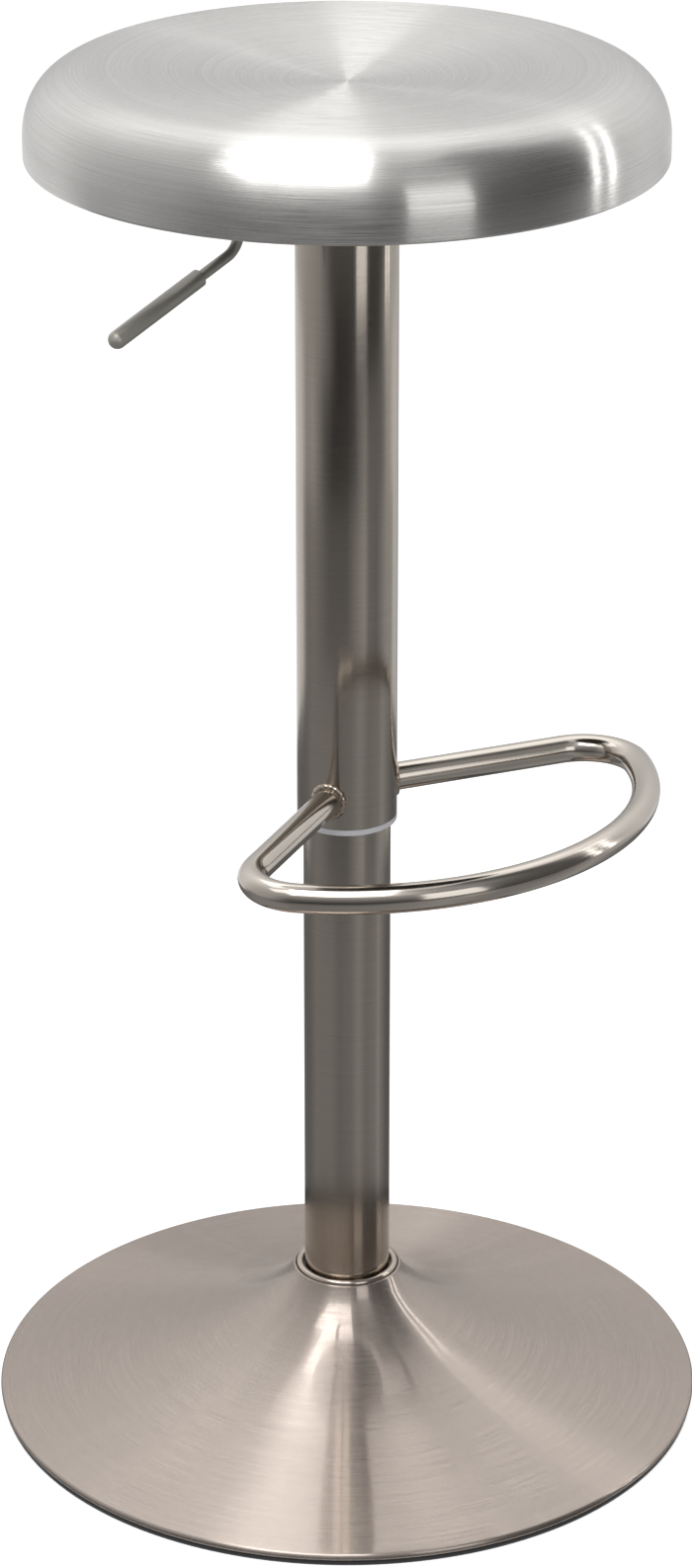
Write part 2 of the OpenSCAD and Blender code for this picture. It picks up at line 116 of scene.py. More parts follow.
def outward_normals():
    """Merges doubles and turns every face of the mesh in edit mode outwards."""
    bpy.ops.mesh.select_all(action="SELECT")
    bpy.ops.mesh.remove_doubles(threshold=MERGE_DISTANCE)
    bpy.ops.mesh.normals_make_consistent(inside=False)


# %% Helper: turn a half section round the column's axis
def start_point(radius, height):
    """Leaves one selected point in edit mode, in the plane of a half section."""
    bpy.ops.object.select_all(action="DESELECT")
    bpy.ops.mesh.primitive_plane_add(size=0.001)
    bpy.ops.object.mode_set(mode="EDIT")
    bpy.ops.mesh.select_all(action="SELECT")
    bpy.ops.mesh.merge(type="CENTER")
    bpy.ops.transform.translate(value=(radius, 0, height))


def turn(section, steps=256, closed=True):
    """Draws section, a list of (radius, height), as a chain and spins it. A closed one gets a wall."""
    start_point(*section[0])
    for (r0, z0), (r1, z1) in zip(section, section[1:]):
        bpy.ops.mesh.extrude_region_move(TRANSFORM_OT_translate={"value": (r1 - r0, 0, z1 - z0)})
    bpy.ops.mesh.select_all(action="SELECT")
    if closed:
        bpy.ops.mesh.edge_face_add()
        bpy.ops.mesh.delete(type="ONLY_FACE")
        bpy.ops.mesh.select_all(action="SELECT")
    bpy.ops.mesh.spin(steps=steps, angle=math.tau, center=(0, 0, 0), axis=(0, 0, 1))
    outward_normals()


def arc_points(centre, radius, start, end, count):
    """Points of an arc in the half section, angles in degrees from the outward direction."""
    turns = [math.radians(start + (end - start) * i / count) for i in range(count + 1)]
    return [(centre[0] + radius * math.cos(t), centre[1] + radius * math.sin(t)) for t in turns]


def rounded_tube(r_out, r_in, low, high, edge):
    """Closed half section of a tube whose four corners are rounded by edge."""
    corners = [(r_out, low, -90), (r_out, high, 0), (r_in, high, 90), (r_in, low, 180)]
    section = []
    for r, z, start in corners:
        centre = (r - edge if r == r_out else r + edge, z + edge if z == low else z - edge)
        section += arc_points(centre, edge, start, start + 90, 4)
    return section


# %% Helper: run and bend a ring of points
def start_ring(radius, points, centre, heading):
    """Leaves a selected ring of points in edit mode, square to heading."""
    tilt = Vector((0, 0, 1)).rotation_difference(Vector(heading)).to_euler()
    bpy.ops.object.select_all(action="DESELECT")
    bpy.ops.mesh.primitive_circle_add(
        vertices=points, radius=radius, fill_type="NOTHING", location=centre, rotation=tilt
    )
    bpy.ops.object.transform_apply(location=True, rotation=True, scale=True)
    bpy.ops.object.mode_set(mode="EDIT")
    bpy.ops.mesh.select_all(action="SELECT")


def run_straight(heading, length, steps=1):
    """Extrudes the selected ring along heading in equal steps."""
    step = Vector(heading) * (length / steps)
    for _ in range(steps):
        bpy.ops.mesh.extrude_region_move(TRANSFORM_OT_translate={"value": step})


def bend(angle, centre, axis, steps):
    """Swings the selected ring by the right-hand rule. The spin operator turns the other way."""
    bpy.ops.mesh.spin(steps=steps, angle=-angle, center=centre, axis=axis)


def cap_both_ends():
    """Closes the two open rings of a bar and turns its faces outwards."""
    bpy.ops.mesh.select_all(action="DESELECT")
    bpy.ops.mesh.select_mode(type="EDGE")
    bpy.ops.mesh.select_non_manifold()
    bpy.ops.mesh.edge_face_add()
    bpy.ops.mesh.select_mode(type="VERT")
    outward_normals()


# %% [markdown]
# ## Steel finishes
# Every visible metal here is stainless steel, but each piece was finished in another way. The seat and
# the foot turned under an abrasive belt, which leaves fine rings. The tubes were ground round and round,
# the footrest was polished after welding, and the wire ring is almost a mirror. Rings too fine to see
# still stretch each reflection across them, so the shader's anisotropy does that part, and scratches from
# smooth to rough blend sharp reflections with wide ones. Coarser noise gives the lines that can be seen.

# %% Helper: a small node builder
def new_material(name):
    """An empty material with its principled shader and output ready."""
    material = bpy.data.materials.new(name)
    material.use_nodes = True
    nodes = material.node_tree.nodes
    shader = nodes["Principled BSDF"]
    return material, nodes, material.node_tree.links, shader


def node(nodes, kind, inputs=None, **settings):
    """A node of that kind with its settings and constant inputs given."""
    made = nodes.new("ShaderNode" + kind)
    for key, value in settings.items():
        setattr(made, key, value)
    for key, value in (inputs or {}).items():
        made.inputs[key].default_value = value
    return made


def ramp(nodes, links, source, stops):
    """A colour ramp fed by source, with stops of (place, colour)."""
    made = nodes.new("ShaderNodeValToRGB")
    elements = made.color_ramp.elements
    while len(elements) < len(stops):
        elements.new(0.5)
    for element, (place, colour) in zip(elements, stops):
        element.position = place
        element.color = (*colour, 1)
    links.new(source, made.inputs[0])
    return made


# %% Helper: coordinates that follow the rings of a turned piece
def ring_coordinates(nodes, links, around, across):
    """Coordinates that change slowly round the Z axis and fast along the section of a turned piece."""
    place = node(nodes, "TexCoord")
    split = node(nodes, "SeparateXYZ")
    links.new(place.outputs["Object"], split.inputs[0])
    flat = node(nodes, "CombineXYZ")
    links.new(split.outputs["X"], flat.inputs["X"])
    links.new(split.outputs["Y"], flat.inputs["Y"])
    radius = node(nodes, "VectorMath", operation="LENGTH")
    links.new(flat.outputs[0], radius.inputs[0])
    direction = node(nodes, "VectorMath", operation="NORMALIZE")
    links.new(flat.outputs[0], direction.inputs[0])
    turned = node(nodes, "VectorMath", {1: (around, around, 0)}, operation="MULTIPLY")
    links.new(direction.outputs[0], turned.inputs[0])
    section = node(nodes, "Math", operation="SUBTRACT")
    links.new(radius.outputs["Value"], section.inputs[0])
    links.new(split.outputs["Z"], section.inputs[1])
    fine = node(nodes, "Math", {1: across}, operation="MULTIPLY")
    links.new(section.outputs[0], fine.inputs[0])
    height = node(nodes, "CombineXYZ")
    links.new(fine.outputs[0], height.inputs["Z"])
    together = node(nodes, "VectorMath", operation="ADD")
    links.new(turned.outputs[0], together.inputs[0])
    links.new(height.outputs[0], together.inputs[1])
    return together.outputs[0]


# %% Make the ring-brushed steel
# Radius of the circle that the noise runs round in one turn: small for the lines, larger for the scratches
LINE_TURN = 0.4
SCRATCH_TURN = 4.0


def ring_brushed_steel(name, colour, gloss, anisotropy, line_depth, line_tone, lines=1800, fineness=12):
    """Steel brushed in rings round Z. Gloss is the roughness of its smoothest and roughest scratches."""
    material, nodes, links, shader = new_material(name)
    streaks = node(nodes, "TexNoise", {"Scale": 1.0, "Detail": 2.0, "Roughness": 0.6})
    links.new(ring_coordinates(nodes, links, LINE_TURN, lines), streaks.inputs["Vector"])
    dark = tuple(c * (1 - line_tone) for c in colour)
    light = tuple(min(1, c * (1 + line_tone)) for c in colour)
    tone = ramp(nodes, links, streaks.outputs["Fac"], [(0.35, dark), (0.65, light)])
    links.new(tone.outputs[0], shader.inputs["Base Color"])
    bump = node(nodes, "Bump", {"Strength": 1.0, "Distance": line_depth})
    links.new(streaks.outputs["Fac"], bump.inputs["Height"])
    links.new(bump.outputs[0], shader.inputs["Normal"])
    scratches = node(nodes, "TexNoise", {"Scale": 1.0, "Detail": 0.0})
    fine_rings = ring_coordinates(nodes, links, SCRATCH_TURN, lines * fineness)
    links.new(fine_rings, scratches.inputs["Vector"])
    limits = {"From Min": 0.35, "From Max": 0.65, "To Min": gloss[0], "To Max": gloss[1]}
    roughness = node(nodes, "MapRange", limits)
    links.new(scratches.outputs["Fac"], roughness.inputs["Value"])
    links.new(roughness.outputs[0], shader.inputs["Roughness"])
    shader.inputs["Metallic"].default_value = 1.0
    shader.inputs["Anisotropic"].default_value = anisotropy
    shader.inputs["Anisotropic Rotation"].default_value = 0.25
    tangent = node(nodes, "Tangent", direction_type="RADIAL", axis="Z")
    links.new(tangent.outputs[0], shader.inputs["Tangent"])
    return material


SEAT_COLOUR = (0.57, 0.56, 0.545)
TUBE_COLOUR = (0.41, 0.37, 0.325)
FOOT_COLOUR = (0.465, 0.402, 0.36)
seat_steel = ring_brushed_steel("seat_steel", SEAT_COLOUR, (0.15, 0.37), 1.0, 0.00001, 0.07)
tube_steel = ring_brushed_steel("tube_steel", TUBE_COLOUR, (0.12, 0.2), 0.3, 0.000004, 0.03)
foot_steel = ring_brushed_steel("foot_steel", FOOT_COLOUR, (0.08, 0.58), 1.0, 0.0000005, 0.035, 2600, 45)
print("brushed steels:", [steel.name for steel in (seat_steel, tube_steel, foot_steel)])


# %% Make the polished and satin metals
def plain_metal(name, colour, rough, grain_scale=300.0, tone=0.04, depth=0.00001, metallic=1.0):
    """Metal with a slight cloudiness in tone and gloss, and a trace of grain."""
    material, nodes, links, shader = new_material(name)
    place = node(nodes, "TexCoord")
    clouds = node(nodes, "TexNoise", {"Scale": 28.0, "Detail": 4.0})
    links.new(place.outputs["Object"], clouds.inputs["Vector"])
    grain = node(nodes, "TexNoise", {"Scale": grain_scale, "Detail": 3.0})
    links.new(place.outputs["Object"], grain.inputs["Vector"])
    dark = tuple(c * (1 - tone) for c in colour)
    light = tuple(min(1, c * (1 + tone)) for c in colour)
    shade = ramp(nodes, links, clouds.outputs["Fac"], [(0.3, dark), (0.7, light)])
    links.new(shade.outputs[0], shader.inputs["Base Color"])
    limits = {"From Min": 0.3, "From Max": 0.7, "To Min": rough * 0.85, "To Max": rough * 1.15}
    roughness = node(nodes, "MapRange", limits)
    links.new(clouds.outputs["Fac"], roughness.inputs["Value"])
    links.new(roughness.outputs[0], shader.inputs["Roughness"])
    bump = node(nodes, "Bump", {"Strength": 0.3, "Distance": depth})
    links.new(grain.outputs["Fac"], bump.inputs["Height"])
    links.new(bump.outputs[0], shader.inputs["Normal"])
    shader.inputs["Metallic"].default_value = metallic
    return material


footrest_steel = plain_metal("footrest_steel", (0.515, 0.47, 0.42), 0.13)
polished_wire = plain_metal("polished_wire", (0.47, 0.41, 0.355), 0.12)
lever_steel = plain_metal("lever_steel", (0.29, 0.278, 0.25), 0.4, 900.0, depth=0.00004, metallic=0.6)
weld_steel = plain_metal("weld_steel", (0.40, 0.34, 0.28), 0.22, tone=0.15, depth=0.00006)
zinc_steel = plain_metal("zinc_steel", (0.6, 0.6, 0.57), 0.32, tone=0.1)
raw_steel = plain_metal("raw_steel", (0.36, 0.35, 0.34), 0.45, tone=0.15, depth=0.00004)
bearing_steel = plain_metal("bearing_steel", (0.62, 0.62, 0.63), 0.12)
brass = plain_metal("brass", (0.72, 0.55, 0.27), 0.28, tone=0.06)
print("materials so far:", len(bpy.data.materials))


# %% Make the paints, plastics and rubber
def plain_coat(name, colour, rough, grain_scale=900.0, depth=0.00004, tone=0.08):
    """Paint, plastic or rubber: one colour with a fine texture."""
    return plain_metal(name, colour, rough, grain_scale, tone, depth, metallic=0.0)


black_coat = plain_coat("black_powder_coat", (0.025, 0.025, 0.026), 0.5, 1400.0, 0.0001)
cylinder_paint = plain_coat("cylinder_paint", (0.02, 0.02, 0.022), 0.3, 500.0, 0.00002)
black_rubber = plain_coat("black_rubber", (0.022, 0.022, 0.024), 0.6, 1200.0, 0.00008)
gland_plastic = plain_coat("gland_plastic", (0.04, 0.04, 0.042), 0.45)
cage_plastic = plain_coat("cage_plastic", (0.55, 0.42, 0.24), 0.45)
seat_foam = plain_coat("seat_foam", (0.62, 0.58, 0.48), 0.9, 700.0, 0.0003)
white_plastic = plain_coat("white_plastic", (0.55, 0.545, 0.57), 0.35, 600.0, 0.00002, 0.03)
print("materials so far:", len(bpy.data.materials))


# %% Make the plywood
def plywood_material():
    """Plywood with a thin black stain, its grain along X."""
    material, nodes, links, shader = new_material("plywood")
    place = node(nodes, "TexCoord")
    stretch = node(nodes, "Mapping")
    stretch.inputs["Scale"].default_value = (6.0, 60.0, 60.0)
    links.new(place.outputs["Object"], stretch.inputs["Vector"])
    grain = node(nodes, "TexNoise", {"Scale": 3.0, "Detail": 8.0, "Distortion": 1.5})
    links.new(stretch.outputs[0], grain.inputs["Vector"])
    veneer = [(0.25, (0.018, 0.016, 0.014)), (0.5, (0.04, 0.035, 0.03)), (0.8, (0.075, 0.064, 0.052))]
    shade = ramp(nodes, links, grain.outputs["Fac"], veneer)
    links.new(shade.outputs[0], shader.inputs["Base Color"])
    bump = node(nodes, "Bump", {"Strength": 0.4, "Distance": 0.0003})
    links.new(grain.outputs["Fac"], bump.inputs["Height"])
    links.new(bump.outputs[0], shader.inputs["Normal"])
    shader.inputs["Roughness"].default_value = 0.65
    return material


plywood = plywood_material()
print("last finish:", plywood.name)

# %% [markdown]
# ## Dress the CAD nodes
# The gas lift, the bearing and the fasteners keep their CAD meshes, because their shapes are right and
# little of them shows. Each only needs the finish of its real counterpart.

# %% Give every CAD node a finish
NODE_FINISH = {
    "seat_shell": seat_steel,
    "seat_filler": seat_foam,
    "seat_board": plywood,
    "tee_nuts": zinc_steel,
    "bolt_washers": zinc_steel,
    "seat_bolts": zinc_steel,
    "seat_bracket": black_coat,
    "taper_socket": raw_steel,
    "tube_head": raw_steel,
    "lever_yoke": black_coat,
    "lever_pin": zinc_steel,
    "lever_rod": lever_steel,
    "lever_grip": lever_steel,
    "release_pin": bearing_steel,
    "outer_tube": tube_steel,
    "tube_bush": white_plastic,
    "footrest": footrest_steel,
    "footrest_welds": weld_steel,
    "gas_cylinder": cylinder_paint,
    "valve_body": brass,
    "cylinder_gland": gland_plastic,
    "piston_seal": black_rubber,
    "piston": brass,
    "piston_rod": bearing_steel,
    "bump_stop": black_rubber,
    "upper_race": bearing_steel,
    "ball_cage": cage_plastic,
    "bearing_balls": bearing_steel,
    "lower_race": bearing_steel,
    "retaining_washer": zinc_steel,
    "rod_clip": zinc_steel,
    "column_foot": raw_steel,
    "guide_sleeve": white_plastic,
    "column_tube": tube_steel,
    "trim_ring": polished_wire,
    "base_socket": raw_steel,
    "base_shell": foot_steel,
    "base_plate": raw_steel,
    "floor_ring": black_rubber,
}


def paint(piece, material):
    """Makes material the only one on piece."""
    piece.data.materials.clear()
    piece.data.materials.append(material)


for node_name, material in NODE_FINISH.items():
    paint(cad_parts[node_name], material)
print("finished nodes:", len(NODE_FINISH))

# %% [markdown]
# ## The seat
# The seat is one disc of sheet steel, spun over a form: a shallow dish, a full rounded shoulder, a short
# straight band and a hem rolled inwards. A lathe section gives exactly that, and its wall is drawn with it.

# %% Turn the seat
seat_low, seat_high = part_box("seat_shell")
SEAT_RADIUS = seat_high.x
SEAT_WALL = 0.0015
BAND_HEIGHT = 0.0105
SHOULDER_WIDTH = 0.0395
SHOULDER_FULLNESS = 0.85
DISH_DEPTH = 0.009
HEM_RADIUS = 0.0018
band_top = seat_low.z + BAND_HEIGHT
shoulder_height = seat_high.z - band_top
brim_radius = SEAT_RADIUS - SHOULDER_WIDTH


def seat_shoulder(inset, count=40):
    """Points up the rounded shoulder, from the band to the brim, set in by inset."""
    points = []
    for i in range(count + 1):
        t = math.radians(90 * i / count)
        out = SEAT_RADIUS - inset - (SHOULDER_WIDTH - inset) * (1 - math.cos(t) ** SHOULDER_FULLNESS)
        up = band_top + (shoulder_height - inset) * math.sin(t) ** SHOULDER_FULLNESS
        points.append((out, up))
    return points


def seat_dish(inset, count=36):
    """Points from the brim to the centre along the dish, set in by inset."""
    radii = [brim_radius * i / count for i in range(count - 1, -1, -1)]
    return [
        (r, seat_high.z - inset - DISH_DEPTH * (1 + math.cos(math.pi * r / brim_radius)) / 2) for r in radii
    ]


hem_centre = (SEAT_RADIUS - HEM_RADIUS, seat_low.z + HEM_RADIUS)
hem_roll = arc_points(hem_centre, HEM_RADIUS, 180, 360, 16)
outer_face = seat_shoulder(0) + seat_dish(0)
inner_face = seat_shoulder(SEAT_WALL) + seat_dish(SEAT_WALL)
turn(hem_roll + outer_face + inner_face[::-1], steps=288)
seat = finish_piece("seat", "carriage", ["seat_shell"])
paint(seat, seat_steel)

# %% [markdown]
# ## The two tubes and the bush
# The seat hangs on a wide tube that slides over a thinner one. A milky bush in the wide tube's end guides
# it, and its flange shows as a pale line. Cut tubes never have razor edges, so each corner is rounded.

# %% Turn the tubes
TUBE_EDGE = 0.0004


def tube_piece(name, node_name, wall, edge, body, material, steps=160):
    """A turned tube that stands for a CAD tube of the same size."""
    low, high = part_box(node_name)
    turn(rounded_tube(high.x, high.x - wall, low.z, high.z, edge), steps=steps)
    piece = finish_piece(name, body, [node_name])
    paint(piece, material)
    return piece


TUBE_WALL = 0.0015
tube_piece("upper_tube", "outer_tube", TUBE_WALL, TUBE_EDGE, "carriage", tube_steel)
tube_piece("lower_tube", "column_tube", TUBE_WALL, TUBE_EDGE, "foot", tube_steel)

# %% Turn the bush and its flange
bush_low, bush_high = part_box("tube_bush")
tube_low, tube_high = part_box("outer_tube")
BUSH_BORE = 0.02506
BUSH_BODY_RADIUS = tube_high.x - TUBE_WALL
FLANGE_EDGE = 0.0006
flange_rim = arc_points(
    (bush_high.x - FLANGE_EDGE, bush_low.z + FLANGE_EDGE), FLANGE_EDGE, -90, 0, 5
)
flange_top = [(bush_high.x, tube_low.z), (BUSH_BODY_RADIUS, tube_low.z)]
body_top = [(BUSH_BODY_RADIUS, bush_high.z), (BUSH_BORE, bush_high.z)]
turn(flange_rim + flange_top + body_top + [(BUSH_BORE, bush_low.z)], steps=128)
bush = finish_piece("bush", "carriage", ["tube_bush"])
paint(bush, white_plastic)

# %% [markdown]
# ## The footrest
# One tube makes the whole footrest: a straight arm, a tight bend, a long front curve, another bend and
# the second arm. A ring of points that runs and swings makes the same moves as the bending machine. It
# is bent flat on the ground first and then tilted up a little, as the welded one is.

# %% Bend the footrest
FOOTREST_RADIUS = 0.008
ARM_ANGLE = math.radians(66)
BEND_RADIUS = 0.032
FRONT_RADIUS = 0.158
FRONT_SHIFT = 0.016
FOOTREST_TILT = math.radians(2.5)
FOOTREST_RISE = 0.0165
ARM_START = 0.0273
footrest_height = tube_low.z + FOOTREST_RISE

arm = Vector((-math.sin(ARM_ANGLE), -math.cos(ARM_ANGLE), 0))
arm_side = Vector((math.cos(ARM_ANGLE), -math.sin(ARM_ANGLE), 0))
front_centre = Vector((0, -FRONT_SHIFT, 0))
# The bend's circle touches the arm and, from inside, the front curve
off = BEND_RADIUS * arm_side - front_centre
along = off.dot(arm)
arm_end = -along + math.sqrt(along**2 - off.dot(off) + (FRONT_RADIUS - BEND_RADIUS) ** 2)
bend_centre = BEND_RADIUS * arm_side + arm_end * arm
to_bend = bend_centre - front_centre
front_half = math.atan2(abs(to_bend.x), -to_bend.y)
bend_turn = math.pi / 2 + ARM_ANGLE - front_half


start_ring(FOOTREST_RADIUS, 48, arm * ARM_START, arm)
run_straight(arm, arm_end - ARM_START, 12)
bend(bend_turn, bend_centre, (0, 0, 1), 32)
bend(2 * front_half, front_centre, (0, 0, 1), 96)
bend(bend_turn, Vector((-bend_centre.x, bend_centre.y, 0)), (0, 0, 1), 32)
run_straight(Vector((-arm.x, arm.y, 0)), -(arm_end - ARM_START), 12)
cap_both_ends()
bpy.ops.object.mode_set(mode="OBJECT")
footrest_frame = Matrix.Translation((0, 0, footrest_height)) @ Matrix.Rotation(-FOOTREST_TILT, 4, "X")
bpy.context.object.matrix_world = footrest_frame
footrest = finish_piece("footrest_loop", "carriage", ["footrest"])
paint(footrest, footrest_steel)

# %% [markdown]
# ## The weld collars
# Each arm meets the round tube in a saddle, and the welder laid a bead round it in small overlapping
# drops. A torus gives the bead, and no operator makes a saddle, so its points are moved by formula: along
# the arm to the tube's wall, and in and out for the drops.

# %% Lay the weld beads
BEAD_RADIUS = 0.0024
BEAD_DROPS = 16
BEAD_RIPPLE = 0.0004
BEAD_MIDDLE = FOOTREST_RADIUS + 0.0006
BEAD_LIFT = 0.0002
TUBE_RADIUS = tube_high.x


def weld_bead(side):
    """A rippled bead round one arm, drawn to the tube's wall."""
    direction = Vector((side * math.sin(ARM_ANGLE), -math.cos(ARM_ANGLE), 0))
    turn_to_arm = Vector((0, 0, 1)).rotation_difference(direction).to_matrix().to_4x4()
    bpy.ops.object.select_all(action="DESELECT")
    bpy.ops.mesh.primitive_torus_add(
        major_segments=132, minor_segments=20, major_radius=BEAD_MIDDLE, minor_radius=BEAD_RADIUS
    )
    mesh = bpy.context.object.data
    for vertex in mesh.vertices:
        around = math.atan2(vertex.co.y, vertex.co.x)
        drop = abs(math.sin(around * BEAD_DROPS / 2))
        spread = 1 + BEAD_RIPPLE / BEAD_RADIUS * (drop - 0.5)
        reach = math.hypot(vertex.co.x, vertex.co.y)
        out = BEAD_MIDDLE + (reach - BEAD_MIDDLE) * spread
        vertex.co = (out * math.cos(around), out * math.sin(around), vertex.co.z * spread)
    bpy.context.object.matrix_world = footrest_frame @ turn_to_arm
    bpy.ops.object.transform_apply(location=True, rotation=True, scale=True)
    arm_line = footrest_frame.to_3x3() @ direction
    for vertex in mesh.vertices:
        sideways = vertex.co - vertex.co.dot(arm_line) * arm_line
        across = Vector((sideways.x, sideways.y, 0)).length
        wall = math.sqrt(TUBE_RADIUS**2 - min(across, TUBE_RADIUS) ** 2)
        vertex.co += arm_line * (wall + BEAD_LIFT)
    return finish_piece("weld_bead_right" if side > 0 else "weld_bead_left", "carriage")


beads = [weld_bead(-1), weld_bead(1)]
for bead in beads:
    paint(bead, weld_steel)
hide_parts("footrest_welds")

# %% [markdown]
# ## The foot
# The foot is one sheet spun into a trumpet. Its slope falls off as one over the radius, which gives a
# logarithmic curve, and a steeper lip is added at the neck. A formula keeps the curve free of kinks that a
# polished surface would show. The edge is rolled round into a bead that stands on the rubber ring.

# %% Turn the trumpet foot
foot_low, foot_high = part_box("base_shell")
FOOT_RADIUS = foot_high.x
FOOT_WALL = 0.0015
NECK_HEIGHT = 0.0795
NECK_RADIUS = 0.0318
NECK_SLOPE = math.radians(65)
LIP_POWER = 8
RIM_RADIUS = 0.0023
RIM_ROLL = 280
FLARE_CROWDING = 1.4

rim_centre = (FOOT_RADIUS - RIM_RADIUS, foot_low.z + RIM_RADIUS)
rim_fall = NECK_HEIGHT - rim_centre[1] - RIM_RADIUS
rim_slope = math.atan(rim_fall / (rim_centre[0] * math.log(rim_centre[0] / NECK_RADIUS)))
flare_end = (
    rim_centre[0] + RIM_RADIUS * math.sin(rim_slope),
    rim_centre[1] + RIM_RADIUS * math.cos(rim_slope),
)
flare_span = math.log(flare_end[0] / NECK_RADIUS)
flare_drop = (NECK_HEIGHT - flare_end[1]) / flare_span
lip_height = (NECK_RADIUS * math.tan(NECK_SLOPE) - flare_drop) / (LIP_POWER - 1 / flare_span)
flare_fall = flare_drop - lip_height / flare_span


def flare_point(r, depth):
    """The foot's sheet at radius r, at depth below its outer face."""
    lip = lip_height * (NECK_RADIUS / r) ** LIP_POWER
    z = flare_end[1] + flare_fall * math.log(flare_end[0] / r) + lip
    slope = math.atan((flare_fall + LIP_POWER * lip) / r)
    return r - depth * math.sin(slope), z - depth * math.cos(slope)


def flare(depth, count=72):
    """The foot's sheet from the neck to the rim, with its points closer together near the neck."""
    shares = [(i / count) ** FLARE_CROWDING for i in range(count + 1)]
    radii = [NECK_RADIUS * math.exp(flare_span * share) for share in shares]
    return [flare_point(r, depth) for r in radii]


lip_start = 90 - math.degrees(NECK_SLOPE)
lip_centre = flare_point(NECK_RADIUS, FOOT_WALL / 2)
lip = arc_points(lip_centre, FOOT_WALL / 2, lip_start + 180, lip_start, 8)[1:-1]
rim_top = 90 - math.degrees(rim_slope)
rim = arc_points(rim_centre, RIM_RADIUS, rim_top, rim_top - RIM_ROLL, 28)[1:]
turn(flare(0) + rim + flare(FOOT_WALL)[::-1] + lip, steps=288)
print("slope at the rim, in degrees:", round(math.degrees(rim_slope), 1))
foot = finish_piece("foot", "foot", ["base_shell"])
paint(foot, foot_steel)

# %% [markdown]
# ## The wire ring and the rubber ring
# A polished wire ring hides the gap between the column and the neck. Its ends were butt-welded and
# filed, so it is a plain ring, only a little flattened where it presses on its seat. The rubber ring
# under the foot's rim shows as a dark line, and a lip keeps it on the ballast plate.

# %% Turn the wire ring
ring_low, ring_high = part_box("trim_ring")
wire_radius = (ring_high.z - ring_low.z) / 2
wire_centre = (ring_high.x - wire_radius, ring_low.z + wire_radius)
WIRE_FLAT = 0.0003
wire_section = arc_points(wire_centre, wire_radius, -90, 270, 32)[:-1]
turn([(r, max(z, ring_low.z + WIRE_FLAT)) for r, z in wire_section], steps=192)
wire_ring = finish_piece("wire_ring", "foot", ["trim_ring"])
paint(wire_ring, polished_wire)

# %% Turn the rubber ring
rubber_low, rubber_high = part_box("floor_ring")
RUBBER_WIDTH = 0.013
RUBBER_EDGE = 0.0008
rubber_bore = rubber_high.x - RUBBER_WIDTH
turn(rounded_tube(rubber_high.x, rubber_bore, rubber_low.z, rubber_high.z, RUBBER_EDGE), steps=192)
rubber_ring = finish_piece("rubber_ring", "foot", ["floor_ring"])
paint(rubber_ring, black_rubber)

# %% [markdown]
# ## The release lever
# A bent rod comes out from under the seat, drops steeply and levels out into a sleeve with a domed end.
# The rod is run and bent like the footrest, and its inner end is a flat piece with an eye for the pivot.

# %% Bend the lever's rod
LEVER_RADIUS = 0.003
LEVER_START = 0.0335
LEVER_RUN = 0.032
LEVER_BEND = 0.013
LEVER_DROP_ANGLE = math.radians(70)
LEVER_DROP = 0.008
HANDLE_ANGLE = math.radians(20)
LEVER_BARE = 0.021
GRIP_LENGTH = 0.067
GRIP_RADIUS = 0.005
TANG_LAP = 0.001
GRIP_LAP = 0.01
LEVER_BELOW_SEAT = 0.015
lever_height = seat_low.z - LEVER_BELOW_SEAT


def heading(angle):
    """Direction away from the column that points down by angle."""
    return Vector((-math.cos(angle), 0, -math.sin(angle)))


def above(angle):
    """Direction square to that heading, on its upper side."""
    return Vector((-math.sin(angle), 0, math.cos(angle)))


rod_start = Vector((-LEVER_START, 0, lever_height))
first_end = rod_start + heading(0) * LEVER_RUN
first_centre = first_end - above(0) * LEVER_BEND
drop_start = first_centre + above(LEVER_DROP_ANGLE) * LEVER_BEND
drop_end = drop_start + heading(LEVER_DROP_ANGLE) * LEVER_DROP
second_centre = drop_end + above(LEVER_DROP_ANGLE) * LEVER_BEND
handle_start = second_centre - above(HANDLE_ANGLE) * LEVER_BEND
grip_start = handle_start + heading(HANDLE_ANGLE) * LEVER_BARE

start_ring(LEVER_RADIUS, 32, rod_start + heading(0) * TANG_LAP, heading(0))
run_straight(heading(0), LEVER_RUN - TANG_LAP, 4)
bend(LEVER_DROP_ANGLE, first_centre, (0, -1, 0), 20)
run_straight(heading(LEVER_DROP_ANGLE), LEVER_DROP, 2)
bend(LEVER_DROP_ANGLE - HANDLE_ANGLE, second_centre, (0, 1, 0), 16)
run_straight(heading(HANDLE_ANGLE), LEVER_BARE + GRIP_LAP, 4)
cap_both_ends()
rod = finish_piece("lever_bar", "lever")
paint(rod, lever_steel)

# %% Press the rod's flat eye piece
PIVOT_X = -0.026
EYE_RADIUS = 0.0065
NOSE_RADIUS = 0.004
TANG_THICKNESS = 0.005
TANG_END = 0.0365
TANG_EDGE = 0.0005
TANG_CORNER = 0.002
EYE_HOLE = 0.00256
DRILL_LENGTH = 0.02


def tang_outline():
    """The eye piece's outline in the lever's plane, as (along the lever, height) from the pivot's height."""
    nose = arc_points((0, 0), NOSE_RADIUS, -90, 90, 16)
    meet = math.degrees(math.asin(NOSE_RADIUS / EYE_RADIUS))
    upper = arc_points((PIVOT_X, 0), EYE_RADIUS, meet, 180 - meet, 14)
    corner = (-TANG_END + TANG_CORNER, NOSE_RADIUS - TANG_CORNER)
    end = arc_points(corner, TANG_CORNER, 90, 180, 6)
    lower_end = [(x, -z) for x, z in reversed(end)]
    return nose + upper + end + lower_end + [(x, -z) for x, z in reversed(upper)]


